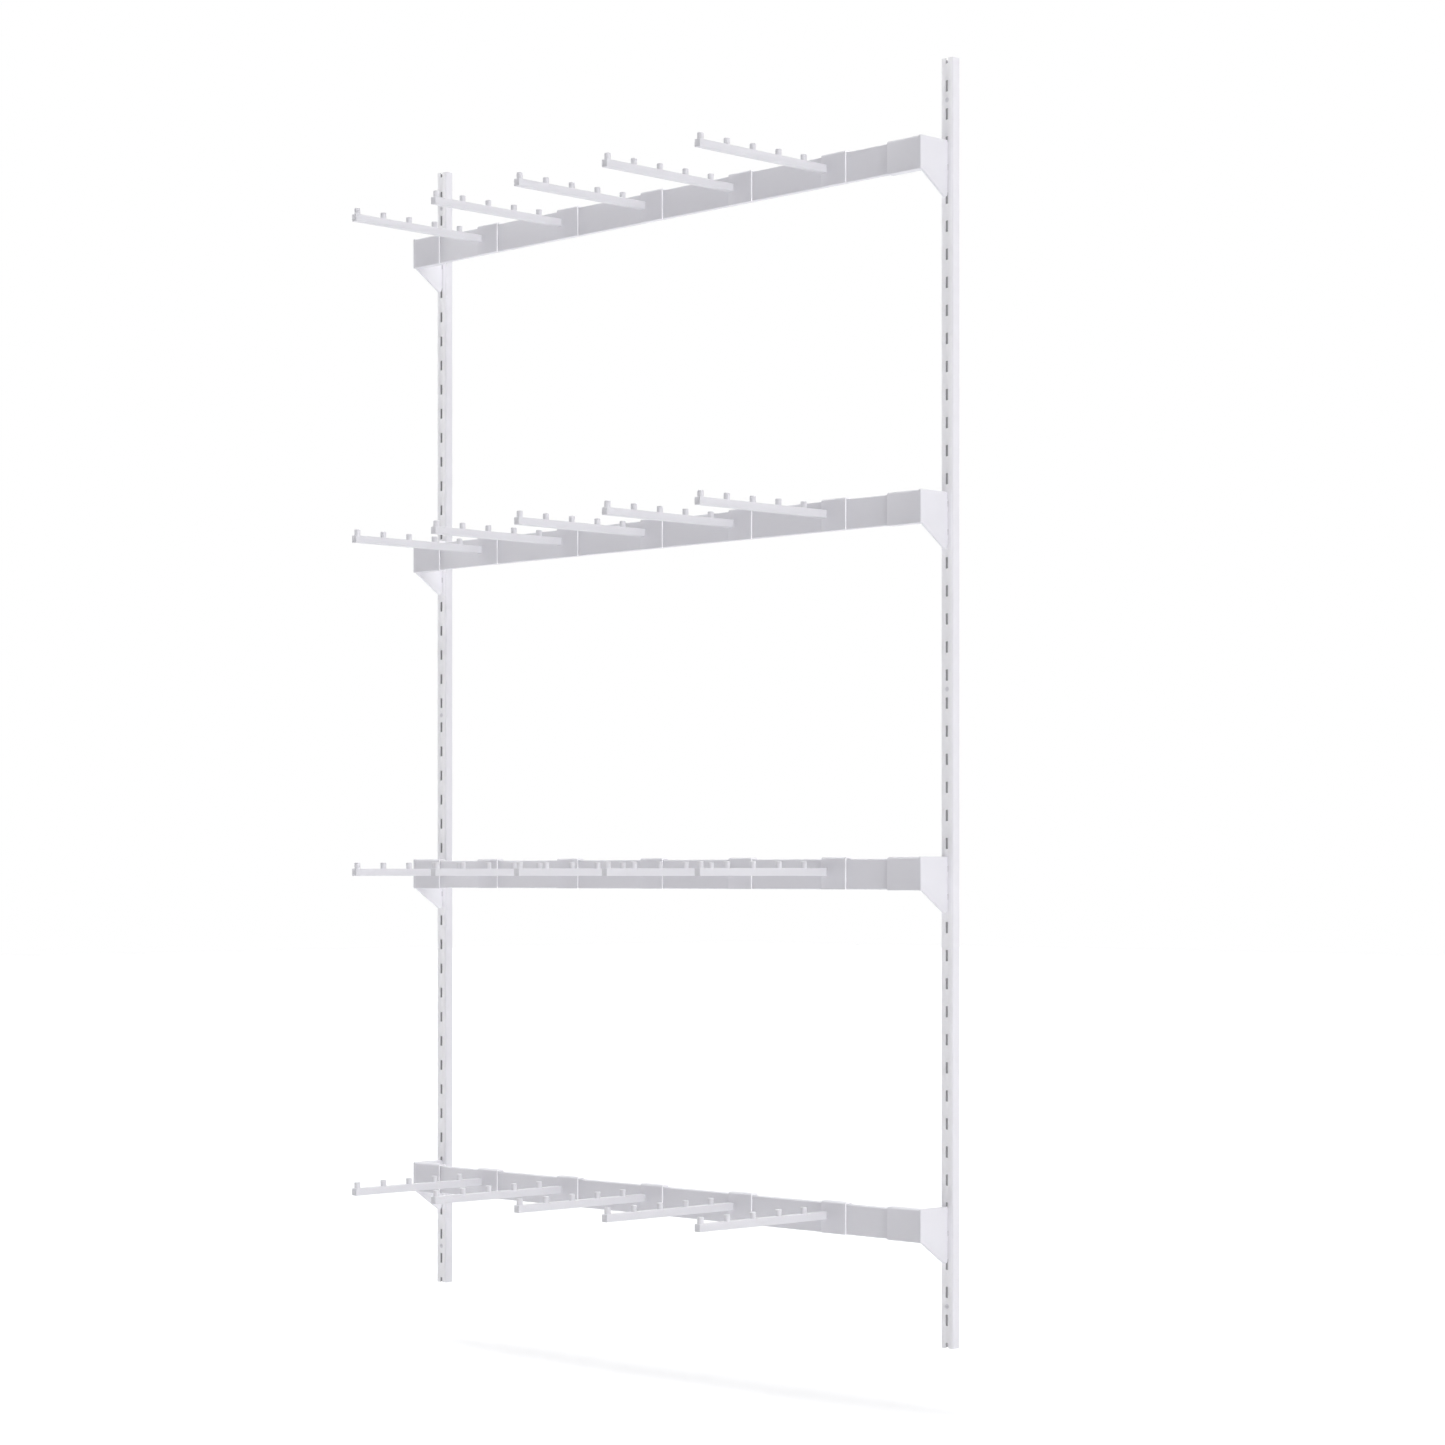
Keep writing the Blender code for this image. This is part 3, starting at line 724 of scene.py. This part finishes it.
def mirrored(piece, model):
    """Copy a left piece as its mirror image, standing for a node on the right."""
    only(piece)
    bpy.ops.object.duplicate()
    copy = bpy.context.object
    copy["model"] = model
    copy.scale.x = -1
    bpy.ops.object.transform_apply()
    bpy.ops.object.mode_set(mode="EDIT")
    bpy.ops.mesh.select_all(action="SELECT")
    bpy.ops.mesh.normals_make_consistent(inside=False)
    bpy.ops.object.mode_set(mode="OBJECT")
    return copy


# The sheets' cut ends are painted whiter, and the gussets' inner sides a little whiter: painted
# light.
CUT_END_PAINTED_LIGHT = 1.0
GUSSET_PAINTED_LIGHT = 0.35
SIDEWAYS = 0.5


def mark_painted_light(piece, amount):
    """Note on each face, by its middle and normal, how much painted light it gets, from 0 to 1."""
    noted = piece.data.attributes.new(name="painted_light_share", type="FLOAT", domain="FACE")
    for face in piece.data.polygons:
        noted.data[face.index].value = amount(face.center, face.normal)


def coat_with_painted_light(name):
    """Make a powder coat with painted light: whiter on the faces marked for it."""
    material, colour = powder_coat(name)[:2]
    tree = material.node_tree
    noted = tree.nodes.new("ShaderNodeAttribute")
    noted.attribute_name = "painted_light_share"
    # Painted light: the marked faces are blended towards the whiter colour.
    whiter = blend_colours(tree, noted.outputs["Fac"], colour, PAINTED_LIGHT_WHITE)
    tree.links.new(whiter, tree.nodes["Principled BSDF"].inputs["Base Color"])
    return material


bracket_coat = coat_with_painted_light("bracket_coat_with_painted_light")
for hooks_set, rows in HOOK_ROWS.items():
    model = f"bracket_left_{rows[0]}"
    low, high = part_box(model)
    bracket = cut_gusset(model, HOOKS_BELOW_TOP[hooks_set])
    foot = high.z - PLATE_FRONT_HEIGHT + PLATE_LEDGE
    near = Vector((low.x + PLATE / 2, low.y + PLATE_LEDGE, foot))
    far = Vector((high.x, near.y + SLEEVE_DEPTH, high.z - PLATE_LEDGE))
    sleeve = fold_sleeve(near, far)
    for part in (bracket, sleeve):
        break_edges(part, PLATE_EDGE)
    join_or_cut(bracket, sleeve, "UNION")
    bead = lay_bead(
        "bead", (low.x + PLATE, far.y, near.z + BEAD_INSET),
        (low.x + PLATE, far.y, far.z - BEAD_INSET), BEAD_RADIUS,
    )
    join_or_cut(bracket, bead, "UNION")
    only(bracket)
    bpy.ops.object.shade_smooth_by_angle(angle=SMOOTH_ANGLE)
    # Painted light on the sleeve's cut end and, less, on the gusset's inner side.
    mark_painted_light(bracket, lambda middle, normal: 0 if normal.x < SIDEWAYS else
                    CUT_END_PAINTED_LIGHT if middle.x > far.x - PLATE_EDGE else
                    GUSSET_PAINTED_LIGHT if abs(middle.x - low.x - PLATE) < NEAR else 0)
    other = mirrored(bracket, f"bracket_right_{rows[0]}")
    for side, master in (("left", bracket), ("right", other)):
        for row in rows:
            dress(
                master, f"hook_in_bracket_{side}_{row}", f"bracket_{side}_{row}",
                "frame", bracket_coat,
            )
        bpy.data.objects.remove(master, do_unlink=True)

# Rails: flat rectangular steel tube, 55 by 12 mm with a 1.5 mm wall, cut square and pushed into
# the sleeves. The saddles that slide on them leave long, faint, dull scuffs on the coat.
TUBE_WALL = 0.0015
TUBE_RADIUS = 0.0025
TUBE_EDGE = 0.0002
SCUFF_GREY = (0.70, 0.70, 0.725, 1)
SCUFFS_PER_METRE = (14, 900, 900)
SCUFF_DETAIL = 3
SCUFF_BAND = (0.58, 0.75)
SCUFF_DULLNESS = 0.16
SCUFF_STRENGTH = 0.35


def rail_finish():
    """Powder coat with long, faint scuffs along the rail."""
    material, colour, rough = powder_coat("rail_powder_coat")
    tree = material.node_tree
    shader = tree.nodes["Principled BSDF"]
    place = tree.nodes.new("ShaderNodeTexCoord")
    stretch = tree.nodes.new("ShaderNodeMapping")
    stretch.inputs["Scale"].default_value = SCUFFS_PER_METRE
    streaks = tree.nodes.new("ShaderNodeTexNoise")
    streaks.inputs["Scale"].default_value = 1
    streaks.inputs["Detail"].default_value = SCUFF_DETAIL
    tree.links.new(place.outputs["Object"], stretch.inputs["Vector"])
    tree.links.new(stretch.outputs["Vector"], streaks.inputs["Vector"])
    scuff = ranged(tree, streaks.outputs["Fac"], 0, 1, *SCUFF_BAND)
    dull = combine(tree, "ADD", rough, ranged(tree, scuff, 0, SCUFF_DULLNESS))
    tree.links.new(dull, shader.inputs["Roughness"])
    faint = combine(tree, "MULTIPLY", scuff, SCUFF_STRENGTH)
    tree.links.new(blend_colours(tree, faint, colour, SCUFF_GREY), shader.inputs["Base Color"])
    return material


rail_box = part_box("rail_1")
rail = fold_sheet(
    "rail", *rail_box,
    open_faces=lambda place, normal: abs(normal.x) > STRAIGHT,
    bends=lambda place, along: abs(along.x) > STRAIGHT,
    radius=TUBE_RADIUS, sheet=TUBE_WALL,
)
rail["model"] = "rail_1"
break_edges(rail, TUBE_EDGE)
rail_coat = rail_finish()
for row in (1, 2, 3, 4):
    dress(rail, f"flat_rail_{row}", f"rail_{row}", "frame", rail_coat)
bpy.data.objects.remove(rail, do_unlink=True)

# Saddles: 60 mm of 3 mm sheet folded twice over the rail, with a long plate in front of it and
# a short lip behind it. Each carries one arm and slides with it by hand.
SADDLE_SHEET = 0.003
LIP_LENGTH = 0.020
SADDLE_RADIUS = 0.004
SADDLE_EDGE = 0.0004
LEVEL = 0.001

low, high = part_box("saddle_1_1")
lip_rise = rail_box[1].z - LIP_LENGTH - low.z
saddle = fold_sheet(
    "saddle", low, high,
    open_faces=lambda place, normal: abs(normal.x) > STRAIGHT or normal.z < -STRAIGHT,
    bends=lambda place, along: abs(along.x) > STRAIGHT and place.z > high.z - LEVEL,
    radius=SADDLE_RADIUS, sheet=SADDLE_SHEET,
)
saddle["model"] = "saddle_1_1"
bpy.ops.object.mode_set(mode="EDIT")
rear_from = (low.y + high.y) / 2
pick_faces(saddle, lambda place, normal: normal.z < -STRAIGHT and place.y > rear_from
           and place.z < low.z + LEVEL)
bpy.ops.transform.translate(value=(0, 0, lip_rise))
bpy.ops.object.mode_set(mode="OBJECT")
break_edges(saddle, SADDLE_EDGE)
# Painted light on the saddle's cut ends.
mark_painted_light(
    saddle, lambda middle, normal: CUT_END_PAINTED_LIGHT if abs(normal.x) > SIDEWAYS else 0
)

saddle_coat = coat_with_painted_light("saddle_coat_with_painted_light")
for row in (1, 2, 3, 4):
    for column in (1, 2, 3, 4, 5):
        dress(
            saddle, f"folded_saddle_{row}_{column}", f"saddle_{row}_{column}",
            f"sliding_arm_{row}_{column}", saddle_coat,
        )
bpy.data.objects.remove(saddle, do_unlink=True)

# Arms: a 14 mm square bar with five round pins set in its top, welded to the saddle's plate.
# The pins keep hangers apart; their crowns are rounded so that hooks lift over them.
BAR_EDGE = 0.001
PIN_RADIUS = 0.00575
PIN_RISE = 0.012
PIN_DEPTH = 0.004
PIN_CROWN = 0.0015
PIN_CROWN_STEPS = ((0.62, 0.08), (0.29, 0.29), (0.08, 0.62))
PIN_SIDES = 28
PIN_COUNT = 5
PIN_END = 0.008
PIN_PITCH = 0.065
PIN_FILLET = 0.0002
ARM_BEAD = 0.0011
ARM_BEAD_INSET = 0.0015
WELD_DEPTH = 0.0001
ON_BAR = 0.00002
ON_PIN = 0.0002
MERGE = 0.00001
# Painted shade: the arms' coat is a darker copy of the white coat.
ARM_WHITE_WITH_PAINTED_SHADE = (0.703, 0.697, 0.733, 1)
ARM_CLOUD_WITH_PAINTED_SHADE = (0.688, 0.682, 0.719, 1)

low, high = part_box("arm_1_1")
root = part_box("saddle_1_1")[0].y + WELD_DEPTH
bar_top = high.z - PIN_RISE
arm = add_block("arm", low, (high.x, root, bar_top))
arm["model"] = "arm_1_1"
bpy.ops.object.mode_set(mode="EDIT")
pick_edges(arm, lambda place, along: abs(along.y) > STRAIGHT or place.y < low.y + LEVEL)
bpy.ops.mesh.bevel(offset=BAR_EDGE, segments=3, affect="EDGES")
bpy.ops.object.mode_set(mode="OBJECT")

bar_middle = (low.x + high.x) / 2
pin_length = PIN_DEPTH + PIN_RISE
crown = [
    (pin_length - PIN_CROWN * down, PIN_RADIUS - PIN_CROWN * inward)
    for down, inward in PIN_CROWN_STEPS
]
pin = turn_piece(
    "pin", (bar_middle, low.y + PIN_END, bar_top - PIN_DEPTH), (0, 0, 1), PIN_SIDES,
    [(0, PIN_RADIUS), (pin_length - PIN_CROWN, PIN_RADIUS), *crown,
     (pin_length, PIN_RADIUS - PIN_CROWN)],
)
apply_change(
    pin, "ARRAY", count=PIN_COUNT, use_relative_offset=False,
    use_constant_offset=True, constant_offset_displace=(0, PIN_PITCH, 0),
)
join_or_cut(arm, pin, "UNION")


def off_pin(place):
    """Tell how far a place lies, seen from above, from the nearest pin's side."""
    along = (place.y - low.y - PIN_END + PIN_PITCH / 2) % PIN_PITCH - PIN_PITCH / 2
    return abs(math.hypot(place.x - bar_middle, along) - PIN_RADIUS)


only(arm)
bpy.ops.object.mode_set(mode="EDIT")
pick_edges(arm, lambda place, along: abs(along.z) < 0.1
           and abs(place.z - bar_top) < ON_BAR and off_pin(place) < ON_PIN)
bpy.ops.mesh.bevel(offset=PIN_FILLET, segments=3, affect="EDGES")
bpy.ops.object.mode_set(mode="OBJECT")

# Beads run down both sides and along the bottom; what lies inside the saddle's plate is cut off.
left, right = low.x + ARM_BEAD_INSET, high.x - ARM_BEAD_INSET
bottom, top = low.z + ARM_BEAD_INSET, bar_top - ARM_BEAD_INSET
for name, start, end in (
    ("left_bead", (low.x, root, bottom), (low.x, root, top)),
    ("right_bead", (high.x, root, bottom), (high.x, root, top)),
    ("lower_bead", (left, root, low.z), (right, root, low.z)),
):
    join_or_cut(arm, lay_bead(name, start, end, ARM_BEAD), "UNION")
saddle_plate = add_block(
    "saddle_plate",
    (low.x - CUT_PAST, root, low.z - CUT_PAST),
    (high.x + CUT_PAST, root + CUT_PAST, high.z),
)
join_or_cut(arm, saddle_plate, "DIFFERENCE")
only(arm)
bpy.ops.object.mode_set(mode="EDIT")
bpy.ops.mesh.select_all(action="SELECT")
bpy.ops.mesh.remove_doubles(threshold=MERGE)
bpy.ops.object.mode_set(mode="OBJECT")
bpy.ops.object.shade_smooth_by_angle(angle=SMOOTH_ANGLE)

# The arms take the darker coat: painted shade.
painted_shade_arm_coat = powder_coat("arm_coat_with_painted_shade", white=ARM_WHITE_WITH_PAINTED_SHADE, shade=ARM_CLOUD_WITH_PAINTED_SHADE)[0]
for row in (1, 2, 3, 4):
    for column in (1, 2, 3, 4, 5):
        dress(
            arm, f"pinned_arm_{row}_{column}", f"arm_{row}_{column}",
            f"sliding_arm_{row}_{column}", painted_shade_arm_coat,
        )
bpy.data.objects.remove(arm, do_unlink=True)
